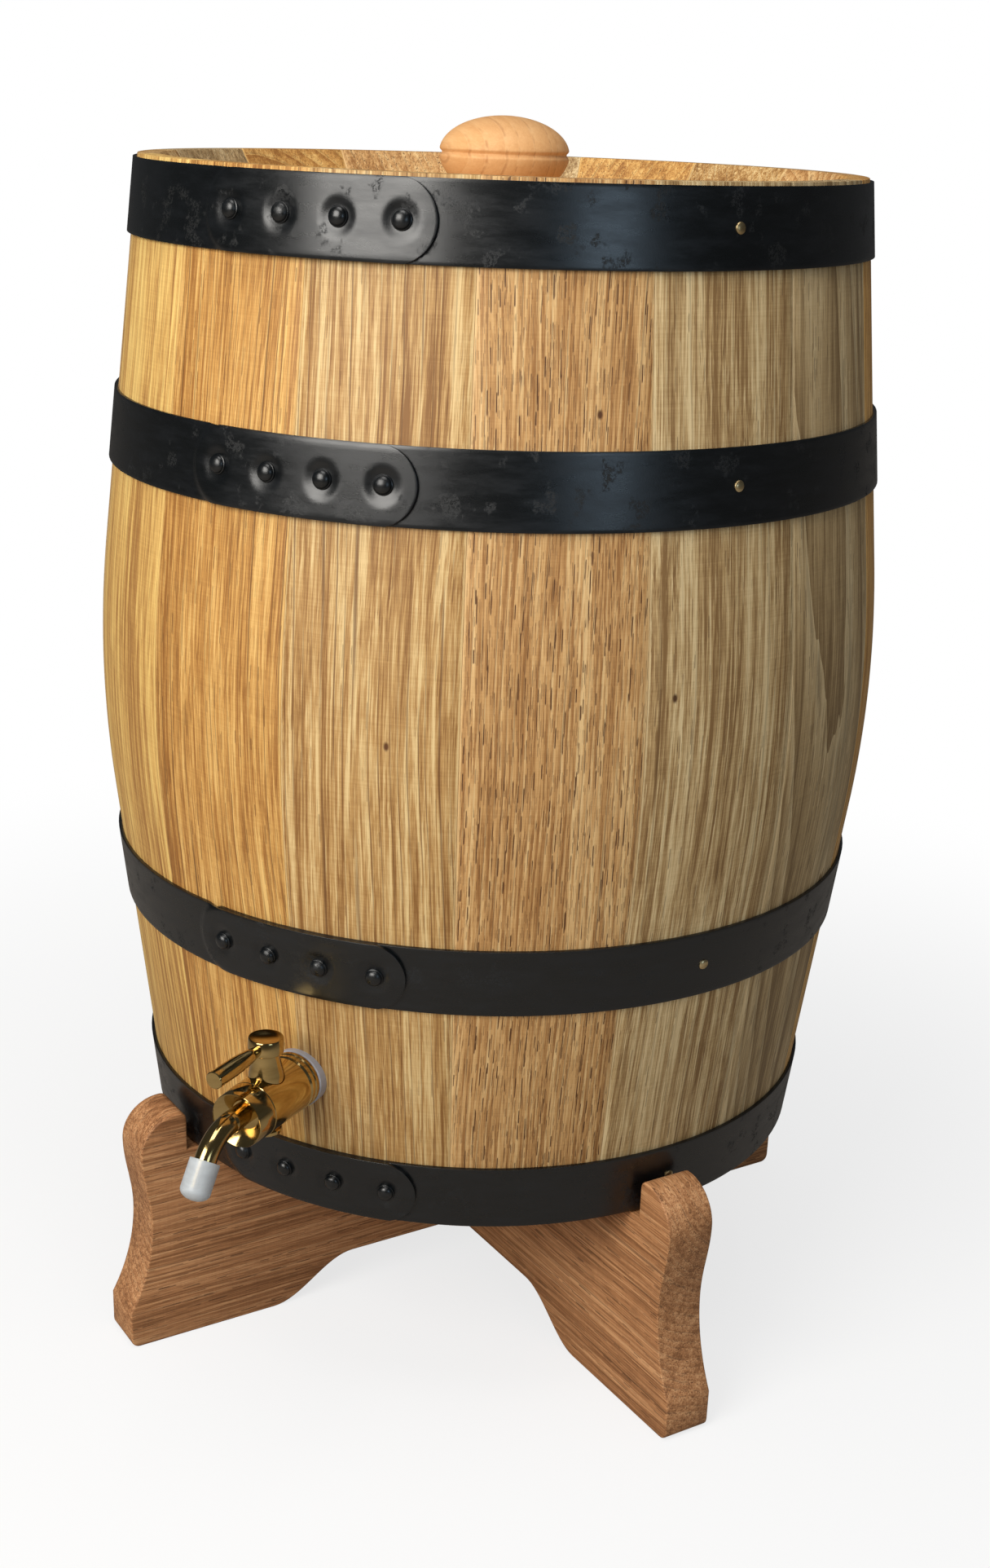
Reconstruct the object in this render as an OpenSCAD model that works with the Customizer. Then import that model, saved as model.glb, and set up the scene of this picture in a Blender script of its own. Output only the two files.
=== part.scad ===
// Small oak wine barrel that stands upright on a crossed stand, with a turned bung and a metal tap.
// Millimetres, +Z up, the tap towards -Y. The origin is on the floor under the middle of the object.
// Azimuths are in degrees from -Y towards +X. Barrel heights count from the lower rim.

/* [Barrel] */
// Height of the barrel, rim to rim
barrel_h = 418; // [400:1:440]
// Outer radius of the staves at the belly
belly_r = 171; // [168:0.5:175]
// Outer radius of the staves at the rims
rim_r = 150; // [148:0.5:152]
// Radius of the bend along the belly of a stave
belly_arc_r = 464; // [300:1:700]
// Thickness of the staves
stave_t = 18; // [15:0.5:20]
// Number of staves
stave_count = 15; // [12:1:19]
// Width of the flat end of a stave, outside its bevel
chime_w = 9; // [6:0.5:10]

/* [Heads] */
// Depth of a head's outer face below the rim
head_depth = 18; // [15:0.5:22]
// Thickness of the head boards
head_t = 16; // [12:0.5:18]
// Number of boards in a head
board_count = 5; // [5:1:5]
// Depth of the groove in the staves that holds a head
croze_depth = 4; // [3:0.5:5]
// Radius of the bung hole
bung_hole_r = 15.6; // [14:0.1:17]

/* [Hoops] */
// Width of a hoop
hoop_w = 29; // [26:0.5:31]
// Thickness of the hoop strip
strip_t = 1.6; // [1.2:0.1:2]
// Height of the middle of an end hoop, from its own rim
chime_hoop_z = 15.6; // [15.5:0.1:17]
// Height of the middle of the lower bilge hoop, from the lower rim
low_bilge_hoop_z = 119; // [105:1:125]
// Depth of the middle of the upper bilge hoop, from the upper rim
top_bilge_hoop_z = 106; // [100:1:120]
// Length of the overlap where a strip is riveted to itself
lap_len = 96; // [90:1:110]
// Azimuth of the middle of the overlaps
lap_az = 0.7; // [-10:0.1:10]
// Spacing of the rivets along an overlap
rivet_pitch = 23.5; // [20:0.5:24]

/* [Stand] */
// Height of the stand's seat above the floor
stand_h = 96; // [90:1:110]
// Thickness of the two boards
plank_t = 23; // [18:0.5:26]
// Azimuth of the first board
stand_az = 59; // [40:1:65]
// Height of the arch under a board
arch_h = 19; // [15:1:25]

/* [Tap] */
// Height of the tap's axis above the lower rim
tap_z = 63.7; // [58:0.1:70]
// Distance of the tap's stem from the barrel's axis
stem_reach = 182.5; // [180:0.5:186]
// Angle by which the spout bends down
spout_bend = 55; // [40:1:60]
// Radius of the spout's bend
spout_bend_r = 20; // [18:1:24]

/* [Hidden] */
$fn = 64;
eps = 0.01;
fit = 0.05;             // clearance on each face between pieces that touch
body_gap = 0.3;         // clearance between pieces that move apart

// Derived shape of the barrel
half_h = barrel_h / 2;
drop = belly_r - rim_r;
taper = atan2(half_h, belly_arc_r - drop)
      - acos(belly_arc_r / norm([half_h, belly_arc_r - drop]));
arc_half_h = belly_arc_r * sin(taper);
straight_h = half_h - arc_half_h;
stave_deg = 360 / stave_count;
stave_gap_deg = 0.03;

// Heads, their grooves and the hole for the bung
bevel_h = 12;
head_mid_z = head_depth + head_t / 2;
croze_w = 5;
tongue_r = inner_r(head_mid_z) + croze_depth - 2 * fit;
head_face_r = inner_r(head_mid_z) - 6;
board_w = 2 * tongue_r / board_count;
dowel_r = 3;
dowel_len = 24;
dowel_run = 60;         // distance of a dowel from the middle of its joint

// Hoops: middle height and which half of the barrel they are on
hoop_z = [chime_hoop_z, low_bilge_hoop_z, barrel_h - top_bilge_hoop_z, barrel_h - chime_hoop_z];
hoop_names = ["bottom_chime", "bottom_bilge", "top_bilge", "top_chime"];
lap_end_r = 15;
rivet_count = 4;
rivet_shank_r = 2;
rivet_head_r = 4;
rivet_head_h = 3;
nail_az = [61, 229];
nail_shank_r = 0.9;
nail_len = 14;
nail_head_r = 2.3;
nail_head_h = 0.9;

// Bung
bung_r = 27;
bung_mid_z = barrel_h + 3.9;
bung_top_b = 14.6;      // half height of the upper half
bung_low_b = 17;        // half height of the lower half, before it is cut off by the neck
bung_neck_r = 17;
bung_groove = 1.2;

// Stand boards, along the distance from the barrel's axis
arch_end = 72;
foot_in = 114;
foot_out = 186;
foot_corner_r = 4;
waist_r = 88;
waist_out = 174.5;
waist_z = stand_h - 34;
lug_r = 18;
lug_out = 178.5;
lug_z = stand_h + 1;
lug_in = 156.5;
lug_corner_r = 3.5;
halving_z = (stand_h + arch_h) / 2;

// Tap, along the distance from the barrel's axis
shank_r = 8;
shank_end = 126.5;
nut_t = 6;
nut_af = 24;
nut_out = 134.5;
washer_out_r = 12.5;
washer_in_r = 12;
flange_in = 161.5;
flange_out = 166.9;
flange_r = 12.2;
body_r = 12;
body_end = 193.6;
collar_end = 204;
collar_end_r = 11.6;
collar_spigot_in = 190;
collar_spigot_r = 8;
cup_r = 11;
cup_in = 197.5;
waterway_r = 3.5;
spout_r = 4.5;
spout_step = 0.1;       // the tube is this much thicker before its bend and thinner after it
spout_up = 1.2;         // height of the spout above the tap's axis
spout_in = 191;
bend_start = 209;
outlet_len = 12;
cap_r = 6.15;
cap_len = 16;
cap_dome = 4;
cap_bore_len = 13.2;

// Turning stem of the tap, along its height above the tap's axis
plug_r = 5.45;
plug_bore_r = 5.5;
plug_low = -12.3;
knob_low = 9.3;
plug_stub_r = 3;
plug_stub_top = 14;
port_r = 3;
ring_r = 1;
ring_z = 6.5;
screw_r = 2;
screw_head_r = 6.2;
screw_head_h = 2;
screw_top = -4;
knob_r = 7.2;
flare_z = 12.8;
neck_z = 20.8;
neck_r = 5.2;
knob_head_z = 21.8;
knob_top = 28.1;
lever_z = 24.3;
lever_end = 36.5;
lever_stub_r = 2;

// Reach of the cap's outermost point, and the place of the barrel's axis that centres the object
outlet_reach = bend_start + spout_bend_r * sin(spout_bend);
outlet_drop = spout_bend_r * (1 - cos(spout_bend));
front_reach = outlet_reach + (body_gap + cap_len - cap_dome) * cos(spout_bend)
            + norm([cap_dome * cos(spout_bend), cap_r * sin(spout_bend)]);
axis_y = (front_reach - belly_r) / 2;

function two_digits(i) = str(i < 10 ? "0" : "", i);

// Outer and inner radius of the staves at a height above the lower rim
function outer_r(z) = abs(z - half_h) < arc_half_h
    ? belly_r - belly_arc_r + sqrt(pow(belly_arc_r, 2) - pow(z - half_h, 2))
    : rim_r + (half_h - abs(z - half_h)) * tan(taper);
function inner_r(z) = outer_r(z) - stave_t;

// Points of an arc about [x, y]
function arc(x, y, r, from, to, steps) =
    [for (i = [0:steps]) [x + r * cos(from + (to - from) * i / steps),
                          y + r * sin(from + (to - from) * i / steps)]];

// Inner outline of a stave's lower end, from its rim up to the groove for the head
inner_end = concat(
    [[rim_r - chime_w, 0], [inner_r(bevel_h), bevel_h]],
    [for (p = [[0, -1], [croze_depth, -1], [croze_depth, 1], [0, 1]])
        let (z = head_mid_z + p[1] * croze_w / 2) [inner_r(z) + p[0], z]]);

module stave_outline() {
    outside = arc(belly_r - belly_arc_r, half_h, belly_arc_r, -taper, taper, 8);
    inside = arc(inner_r(half_h) - belly_arc_r, half_h, belly_arc_r, taper, -taper, 8);
    polygon(concat([[rim_r, 0]], outside, [[rim_r, barrel_h]],
                   [for (p = inner_end) [p[0], barrel_h - p[1]]], inside,
                   [for (i = [len(inner_end) - 1:-1:0]) inner_end[i]]));
}

module in_barrel() translate([0, axis_y, stand_h]) children();

// Puts its children on the staves' surface at an azimuth and height, their +Z straight out of it
module on_stave(az, z) {
    tilt = z > half_h ? taper : -taper;
    rotate([0, 0, az]) translate([0, -outer_r(z), z]) rotate([90 - tilt, 0, 0]) children();
}

// Puts its children on the tap's axis, their +Z along it and away from the barrel
module on_tap() in_barrel() translate([0, 0, tap_z]) rotate([90, 0, 0]) children();

module on_stem() in_barrel() translate([0, -stem_reach, tap_z]) children();

module rod(r, from, to) translate([0, 0, from]) cylinder(r = r, h = to - from);

// Dome of a given base radius and height, standing on the plane z = 0
module dome(r, h) {
    ball_r = (r * r + h * h) / (2 * h);
    intersection() {
        translate([0, 0, h - ball_r]) sphere(r = ball_r);
        rod(r + eps, 0, h + eps);
    }
}

module stave(i) {
    from = (i - 1) * stave_deg + stave_gap_deg / 2;
    color("peru") in_barrel() difference() {
        rotate([0, 0, from - 90]) rotate_extrude(angle = stave_deg - stave_gap_deg) stave_outline();
        if (i == 1 || i == stave_count)
            translate([0, 0, tap_z]) rotate([90, 0, 0]) rod(shank_r + 6 * fit, rim_r / 2, belly_r + 9);
        for (az = nail_az) if (az > from && az < from + stave_deg)
            for (z = hoop_z) on_stave(az, z) rod(nail_shank_r + fit, -nail_len, 1);
    }
}

module head_disc() {
    top_z = head_mid_z + head_t / 2;
    low_z = head_mid_z - head_t / 2;
    tongue_h = croze_w / 2 - 2 * fit;
    mouth_r = inner_r(low_z) - fit;
    rotate_extrude() polygon([
        [0, low_z], [head_face_r, low_z], [mouth_r, head_mid_z - tongue_h],
        [tongue_r, head_mid_z - tongue_h], [tongue_r, head_mid_z + tongue_h],
        [mouth_r, head_mid_z + tongue_h], [head_face_r, top_z], [0, top_z]]);
}

// Pegs across the joints of a head's boards
module head_pegs(r, length) {
    for (joint = [1:board_count - 1]) for (side = [-1, 1])
        translate([side * dowel_run, (joint - board_count / 2) * board_w, head_mid_z])
            rotate([90, 0, 0]) cylinder(r = r, h = length, center = true);
}

// Heads are drawn for the lower end and turned over for the upper one
module at_head(side) in_barrel() {
    if (side == "bottom") children();
    else translate([0, 0, barrel_h]) mirror([0, 0, 1]) children();
}

module head_board(side, i) color("burlywood") at_head(side) difference() {
    intersection() {
        head_disc();
        translate([-rim_r, (i - 1 - board_count / 2) * board_w + fit, 0])
            cube([2 * rim_r, board_w - 2 * fit, 2 * head_mid_z]);
    }
    head_pegs(dowel_r + fit, dowel_len + 4 * fit);
    if (side == "top" && i == (board_count + 1) / 2) rod(bung_hole_r, 0, 2 * head_mid_z);
}

module head_dowels(side) color("wheat") at_head(side) head_pegs(dowel_r, dowel_len);

// Conical band on the staves between two distances from their surface
module band(z, from, to) {
    low = z - hoop_w / 2;
    high = z + hoop_w / 2;
    rotate_extrude() polygon([
        [outer_r(low) + from, low], [outer_r(low) + to, low],
        [outer_r(high) + to, high], [outer_r(high) + from, high]]);
}

module lap_shape() {
    straight = lap_len - 2 * lap_end_r;
    square([straight, 2 * lap_end_r], center = true);
    for (side = [-1, 1]) translate([side * straight / 2, 0]) circle(r = lap_end_r);
}

module at_rivets(z) {
    for (i = [0:rivet_count - 1])
        on_stave(lap_az + (i - (rivet_count - 1) / 2) * rivet_pitch / outer_r(z) * 180 / PI, z)
            children();
}

module hoop(z) color("darkslategray") in_barrel() difference() {
    union() {
        band(z, fit, fit + strip_t);
        intersection() {
            band(z, fit + strip_t / 2, fit + 2 * strip_t);
            on_stave(lap_az, z) translate([0, 0, -2 * strip_t])
                linear_extrude(height = 12 * strip_t) lap_shape();
        }
    }
    at_rivets(z) rod(rivet_shank_r + fit, -strip_t, 4 * strip_t);
    for (az = nail_az) on_stave(az, z) rod(nail_shank_r + fit, -strip_t, 4 * strip_t);
}

module rivets(z) color("black") in_barrel() at_rivets(z) {
    face = 2 * strip_t + fit;
    rod(rivet_shank_r, 2 * fit, face);
    translate([0, 0, face]) dome(rivet_head_r, rivet_head_h);
}

module nails(z) color("khaki") in_barrel() for (az = nail_az) on_stave(az, z) {
    face = strip_t + fit;
    point = 3;
    translate([0, 0, 1 - nail_len]) cylinder(r1 = fit, r2 = nail_shank_r, h = point);
    rod(nail_shank_r, 1 - nail_len + point, face);
    translate([0, 0, face]) dome(nail_head_r, nail_head_h);
}

module bung() color("sandybrown") in_barrel() {
    plug_end = barrel_h - head_depth - head_t;
    plug_low_r = bung_hole_r - 1;
    plug_top_r = bung_hole_r - body_gap;
    neck_deg = acos(bung_neck_r / bung_r);
    groove_deg = asin(bung_groove / bung_top_b);
    upper = [for (i = [0:12]) let (a = 90 + (groove_deg - 90) * i / 12)
        [bung_r * cos(a), bung_mid_z + bung_top_b * sin(a)]];
    lower = [for (i = [0:8]) let (a = -groove_deg + (groove_deg - neck_deg) * i / 8)
        [bung_r * cos(a), bung_mid_z + bung_low_b * sin(a)]];
    rotate_extrude() polygon(concat(
        upper, [[bung_r - bung_groove, bung_mid_z]], lower,
        [[plug_top_r, barrel_h - head_depth], [plug_low_r, plug_end], [0, plug_end]]));
}

// Half of a stand board's outline, from the middle of its arch out and up to its middle again
function plank_half() = let (waist_x = waist_out + waist_r) concat(
    [for (i = [0:10]) let (t = i / 10)
        [arch_end + (foot_in - arch_end) * t, arch_h * (1 + cos(180 * t)) / 2]],
    arc(foot_out - foot_corner_r, foot_corner_r, foot_corner_r, -90, 0, 4),
    arc(waist_x, waist_z, waist_r, 180 + acos((waist_x - foot_out) / waist_r), 180, 10),
    [for (i = [1:7]) let (t = i / 8)
        [waist_out + (lug_out - waist_out) * (1 - cos(180 * t)) / 2,
         waist_z + (lug_z - waist_z) * t]],
    arc(lug_out - lug_r, lug_z, lug_r, 0, 90, 8),
    arc(lug_in + lug_corner_r, lug_z + lug_r - lug_corner_r, lug_corner_r, 90, 180, 4),
    [[lug_in, stand_h]]);

module plank(az, notch_from, notch_to) translate([0, axis_y, 0]) rotate([90, 0, az - 90])
    linear_extrude(height = plank_t, center = true) difference() {
        half = plank_half();
        polygon(concat(half, [for (i = [len(half) - 1:-1:0]) [-half[i][0], half[i][1]]]));
        translate([-plank_t / 2 - fit, notch_from])
            square([plank_t + 2 * fit, notch_to - notch_from]);
    }

module stand_board_lower() color("sienna") plank(stand_az, halving_z, stand_h + 1);

module stand_board_upper() color("sienna") plank(stand_az - 90, -1, halving_z + fit);

module tap_body() color("gold") difference() {
    groove = 0.5;
    on_tap() rotate_extrude() polygon([
        [0, shank_end], [shank_r, shank_end], [shank_r, flange_in], [flange_r, flange_in],
        [flange_r, flange_in + 2], [flange_r - groove, flange_in + 2 + groove],
        [flange_r, flange_in + 2 + 2 * groove], [flange_r, flange_out],
        [body_r - groove, flange_out], [body_r, flange_out + groove],
        [body_r, body_end], [0, body_end]]);
    on_tap() rod(waterway_r, shank_end - 1, collar_spigot_in);
    on_tap() rod(collar_spigot_r + fit, collar_spigot_in - 4 * fit, body_end + 1);
    on_stem() rod(plug_bore_r, -body_r - 1, body_r + 1);
    on_stem() rod(knob_r + body_gap, knob_low - body_gap, body_r + 1);
}

module outer_washer() color("whitesmoke") difference() {
    on_tap() rod(washer_out_r, rim_r, flange_in - fit);
    on_tap() rod(shank_r + fit, rim_r - 1, flange_in);
    in_barrel() cylinder(r1 = rim_r + fit, r2 = outer_r(straight_h) + fit, h = straight_h, $fn = 360);
}

module inner_washer() color("whitesmoke") difference() {
    intersection() {
        on_tap() rod(washer_in_r, nut_out + fit, rim_r);
        in_barrel() cylinder(r1 = rim_r - stave_t - fit, r2 = inner_r(straight_h) - fit,
                             h = straight_h, $fn = 360);
    }
    on_tap() rod(shank_r + fit, nut_out - 1, rim_r);
}

module lock_nut() color("gold") on_tap() difference() {
    translate([0, 0, nut_out - nut_t]) cylinder(d = nut_af / cos(30), h = nut_t, $fn = 6);
    rod(shank_r + fit, nut_out - nut_t - 1, nut_out + 1);
}

module spout_collar() color("gold") on_tap() difference() {
    rotate_extrude() polygon([
        [0, collar_spigot_in], [collar_spigot_r, collar_spigot_in],
        [collar_spigot_r, body_end + fit], [body_r, body_end + fit],
        [collar_end_r, collar_end], [cup_r, collar_end], [spout_r + 1.5, cup_in], [0, cup_in]]);
    translate([0, spout_up, 0]) rod(spout_r + spout_step + fit, spout_in - fit, collar_end);
    rod(waterway_r, collar_spigot_in - 1, spout_in + 1);
}

// Straight start, bend and straight outlet of the spout; its bore runs past both ends
module spout_path(r, past) {
    translate([0, spout_up, 0]) rod(r + spout_step, spout_in - past, bend_start);
    translate([0, spout_up - spout_bend_r, bend_start]) rotate([90, 0, 90])
        rotate_extrude(angle = spout_bend) translate([spout_bend_r, 0]) circle(r = r);
    on_outlet() rod(r - spout_step, 0, outlet_len + past);
}

module on_outlet() translate([0, spout_up - outlet_drop, outlet_reach]) rotate([spout_bend, 0, 0])
    children();

module spout_tube() color("gold") on_tap() difference() {
    spout_path(spout_r, 0);
    spout_path(waterway_r, 1);
}

module spout_cap() color("ghostwhite") on_tap() on_outlet() translate([0, 0, body_gap])
    difference() {
        rotate_extrude() polygon(concat(
            [[0, 0], [cap_r, 0]],
            [for (i = [0:8]) [cap_r * cos(90 * i / 8), cap_len + cap_dome * (sin(90 * i / 8) - 1)]]));
        rod(spout_r, -1, cap_bore_len);
    }

module valve_rings() color("black") on_stem() for (side = [-1, 1])
    translate([0, 0, side * ring_z]) rotate_extrude()
        translate([plug_r - ring_r - fit, 0]) circle(r = ring_r);

module valve_plug() color("gold") on_stem() difference() {
    union() {
        rod(plug_r, plug_low, knob_low);
        rod(plug_stub_r, knob_low - 1, plug_stub_top);
    }
    rotate([90, 0, 0]) rod(port_r, -2 * plug_r, 2 * plug_r);
    rod(screw_r + fit, plug_low - 1, screw_top + 4 * fit);
    for (side = [-1, 1]) translate([0, 0, side * ring_z]) difference() {
        rod(plug_r + 1, -ring_r - fit, ring_r + fit);
        rod(plug_r - 2 * ring_r - 2 * fit, -ring_r - 1, ring_r + 1);
    }
}

module valve_screw() color("gold") on_stem() {
    rod(screw_head_r, plug_low - screw_head_h, plug_low);
    rod(screw_r, plug_low - 1, screw_top);
}

module tap_knob() color("gold") on_stem() difference() {
    rotate_extrude() polygon([
        [0, knob_low], [knob_r, knob_low], [knob_r, flare_z], [neck_r, neck_z],
        [knob_r, knob_head_z], [knob_r, knob_top - 0.4], [knob_r - 0.4, knob_top], [0, knob_top - 0.8]]);
    rod(plug_stub_r + fit, knob_low - 1, plug_stub_top + fit);
    translate([0, 0, lever_z]) rotate([90, 0, 0]) rod(lever_stub_r + fit, 0.5, knob_r + 1);
}

module tap_lever() color("gold") on_stem() translate([0, 0, lever_z]) rotate([90, 0, 0])
    rotate_extrude() polygon([
        [0, 1], [lever_stub_r, 1], [lever_stub_r, knob_r + fit], [2.3, knob_r + 2 * fit],
        [3.6, lever_end / 2], [3.6, lever_end - 0.3], [3.3, lever_end], [0, lever_end]]);

for (i = [1:stave_count])
    stave(i);
for (side = ["top", "bottom"]) for (i = [1:board_count])
    head_board(side, i);
for (side = ["top", "bottom"])
    head_dowels(side);
for (i = [0:len(hoop_z) - 1]) {
    hoop(hoop_z[i]);
    rivets(hoop_z[i]);
    nails(hoop_z[i]);
}
bung();
stand_board_lower();
stand_board_upper();
tap_body();
outer_washer();
inner_washer();
lock_nut();
spout_collar();
spout_tube();
spout_cap();
valve_plug();
valve_rings();
valve_screw();
tap_knob();
tap_lever();
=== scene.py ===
"""Looks of a small oak wine barrel on its crossed stand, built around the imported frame.

Everything is in metres. The tap points towards -Y, and azimuths are in degrees from -Y towards +X.
"""

import math
import random

import bpy
from mathutils import Matrix, Vector


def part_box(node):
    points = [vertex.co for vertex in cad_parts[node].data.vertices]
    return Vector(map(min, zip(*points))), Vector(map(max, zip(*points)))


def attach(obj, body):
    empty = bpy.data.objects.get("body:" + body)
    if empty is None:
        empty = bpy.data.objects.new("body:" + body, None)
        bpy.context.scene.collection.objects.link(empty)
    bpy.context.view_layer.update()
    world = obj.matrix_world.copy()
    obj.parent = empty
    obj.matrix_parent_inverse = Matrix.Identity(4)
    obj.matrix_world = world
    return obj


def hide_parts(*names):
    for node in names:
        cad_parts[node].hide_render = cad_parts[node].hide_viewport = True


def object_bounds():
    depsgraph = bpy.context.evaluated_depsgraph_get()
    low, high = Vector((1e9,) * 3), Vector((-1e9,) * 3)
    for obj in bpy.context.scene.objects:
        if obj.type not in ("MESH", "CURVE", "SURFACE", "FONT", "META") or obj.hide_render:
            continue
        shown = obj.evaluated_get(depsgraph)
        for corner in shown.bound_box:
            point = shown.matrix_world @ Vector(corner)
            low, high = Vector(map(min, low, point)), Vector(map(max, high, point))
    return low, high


MM = 0.001

# ---------------------------------------------------------------- the frame and the sizes taken from it

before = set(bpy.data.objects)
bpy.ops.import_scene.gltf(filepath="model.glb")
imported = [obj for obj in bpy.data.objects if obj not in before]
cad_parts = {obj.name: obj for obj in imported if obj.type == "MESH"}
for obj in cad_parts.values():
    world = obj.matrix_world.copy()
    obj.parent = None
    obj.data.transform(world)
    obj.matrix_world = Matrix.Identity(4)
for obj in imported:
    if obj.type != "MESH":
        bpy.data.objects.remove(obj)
cad_box = [list(corner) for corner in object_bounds()]


def middle(node_name):
    """Middle of a CAD node's box."""
    low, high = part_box(node_name)
    return Vector(((low[0] + high[0]) / 2, (low[1] + high[1]) / 2, (low[2] + high[2]) / 2))


AXIS = Vector((middle("bung").x, middle("bung").y, 0))
FOOT_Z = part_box("stave_02")[0][2]
RIM_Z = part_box("stave_02")[1][2]
BARREL_H = RIM_Z - FOOT_Z
BELLY_R = (cad_box[1][0] - cad_box[0][0]) / 2
RIM_R = 150 * MM
BELLY_ARC_R = 464 * MM
STAVE_T = 18 * MM
STAVES = 15
STAVE_DEG = 360 / STAVES
STAVE_GAP_DEG = 0.03
ARCH_H = 19 * MM
HEAD_BOARDS = 5

HALF_H = BARREL_H / 2
DROP = BELLY_R - RIM_R
TAPER = math.atan2(HALF_H, BELLY_ARC_R - DROP) - math.acos(
    BELLY_ARC_R / math.hypot(HALF_H, BELLY_ARC_R - DROP))
ARC_HALF_H = BELLY_ARC_R * math.sin(TAPER)

HOOP_NAMES = ("bottom_chime", "bottom_bilge", "top_bilge", "top_chime")
HOOP_W = 29 * MM
STRIP_T = 1.6 * MM
STRIP_GAP = 0.05 * MM
LAP_AZ = 0.7
LAP_LEN = 96 * MM
LAP_END_R = 15 * MM
RIVET_PITCH = 23.5 * MM
RIVET_OFFSETS = [(i - 1.5) * RIVET_PITCH for i in range(4)]
DIMPLE_DEEP = 0.95 * MM
NAIL_AZIMUTHS = (61, 229)

TAP_Z = middle("valve_rings").z
STEM_REACH = AXIS.y - middle("valve_rings").y
SPOUT_UP = 1.2 * MM
SPOUT_BEND_R = 20 * MM
SPOUT_BEND_FROM = 209 * MM
SPOUT_BEND = math.radians(55)


def outer_r(height):
    """Radius of the staves at a height above their feet."""
    from_middle = abs(height - HALF_H)
    if from_middle < ARC_HALF_H:
        return BELLY_R - BELLY_ARC_R + math.sqrt(BELLY_ARC_R ** 2 - from_middle ** 2)
    return RIM_R + (HALF_H - from_middle) * math.tan(TAPER)


def radial(azimuth, distance, z):
    """A point at an azimuth and distance from the barrel's axis."""
    turn = math.radians(azimuth)
    return AXIS + Vector((distance * math.sin(turn), -distance * math.cos(turn), z))


def arc(x, y, r, start, end, steps):
    """Points of an arc about (x, y), from start to end in degrees."""
    turns = [math.radians(start + (end - start) * i / steps) for i in range(steps + 1)]
    return [(x + r * math.cos(t), y + r * math.sin(t)) for t in turns]


def in_mm(points):
    """Points given in mm, in metres."""
    return [(x * MM, z * MM) for x, z in points]


# ---------------------------------------------------------------- modelling by hand


def deselect():
    """Back to object mode, with nothing selected."""
    if bpy.context.mode != "OBJECT":
        bpy.ops.object.mode_set(mode="OBJECT")
    bpy.ops.object.select_all(action="DESELECT")


def select_only(piece):
    """Selects one piece and makes it the active one."""
    deselect()
    piece.select_set(True)
    bpy.context.view_layer.objects.active = piece


def edit_all(piece):
    """Opens the piece for editing with all of it selected."""
    bpy.context.view_layer.objects.active = piece
    bpy.ops.object.mode_set(mode="EDIT")
    bpy.ops.mesh.select_all(action="SELECT")


def laid_outline(name, points, fill="NGON"):
    """A flat outline in the XZ plane, with its corners at points (x, z)."""
    deselect()
    bpy.ops.mesh.primitive_circle_add(vertices=len(points), radius=RIM_R, fill_type=fill)
    piece = bpy.context.active_object
    piece.name = piece.data.name = name
    for vertex, (x, z) in zip(piece.data.vertices, points):
        vertex.co = (x, 0, z)
    return piece


def close_up(piece):
    """Merges doubles, drops what is loose and turns all faces outwards."""
    edit_all(piece)
    bpy.ops.mesh.remove_doubles(threshold=0.01 * MM)
    bpy.ops.mesh.delete_loose()
    bpy.ops.mesh.select_all(action="SELECT")
    bpy.ops.mesh.normals_make_consistent(inside=False)
    bpy.ops.object.mode_set(mode="OBJECT")


def spun(piece, degrees, steps):
    """Spins the piece's flat outline about the Z axis, from +X towards +Y."""
    edit_all(piece)
    bpy.ops.mesh.spin(steps=steps, angle=math.radians(degrees), center=(0, 0, 0), axis=(0, 0, -1))
    bpy.ops.object.mode_set(mode="OBJECT")
    close_up(piece)
    return piece


def turned(name, profile, steps):
    """A lathe-turned piece about the Z axis. profile is a closed outline of (radius, height)."""
    return spun(laid_outline(name, profile, "NOTHING"), 360, steps)


def place(piece, matrix):
    """Puts a piece where it belongs, with its place kept in its mesh."""
    piece.matrix_world = matrix
    select_only(piece)
    bpy.ops.object.transform_apply(location=True, rotation=True, scale=True)
    return piece


def apply_modifier(piece, kind, **settings):
    """Puts a modifier on a piece and makes its result the mesh."""
    modifier = piece.modifiers.new(kind.title(), kind)
    for key, value in settings.items():
        setattr(modifier, key, value)
    select_only(piece)
    bpy.ops.object.modifier_apply(modifier=modifier.name)


def soften(piece, width, segments=2, smooth_deg=35):
    """Rounds the sharp edges, unless width is 0, and smooths the rest."""
    if width:
        apply_modifier(piece, "BEVEL", width=width, segments=segments, limit_method="ANGLE",
                       angle_limit=math.radians(35), use_clamp_overlap=True)
    select_only(piece)
    bpy.ops.object.shade_smooth_by_angle(angle=math.radians(smooth_deg))


def copy_of(piece, name):
    """A second piece with a mesh of its own."""
    twin = piece.copy()
    twin.data = piece.data.copy()
    twin.name = twin.data.name = name
    bpy.context.scene.collection.objects.link(twin)
    return twin


def joined(pieces, name):
    """All the pieces as one."""
    deselect()
    for piece in pieces:
        piece.select_set(True)
    bpy.context.view_layer.objects.active = pieces[0]
    bpy.ops.object.join()
    pieces[0].name = pieces[0].data.name = name
    return pieces[0]


def cover(piece, material):
    """Gives a piece its only material."""
    piece.data.materials.clear()
    piece.data.materials.append(material)


def finish_piece(piece, node, material, body="barrel"):
    """The piece gets its finish, rides on its body and stands for its CAD node."""
    cover(piece, material)
    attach(piece, body)
    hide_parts(node)


def on_stave(azimuth, height):
    """Matrix that puts +Z straight out of the staves' surface, with +X along their azimuth."""
    tilt = TAPER if height > HALF_H else -TAPER
    return (Matrix.Translation(AXIS + Vector((0, 0, FOOT_Z)))
            @ Matrix.Rotation(math.radians(azimuth), 4, "Z")
            @ Matrix.Translation((0, -outer_r(height), height))
            @ Matrix.Rotation(math.pi / 2 - tilt, 4, "X"))


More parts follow.
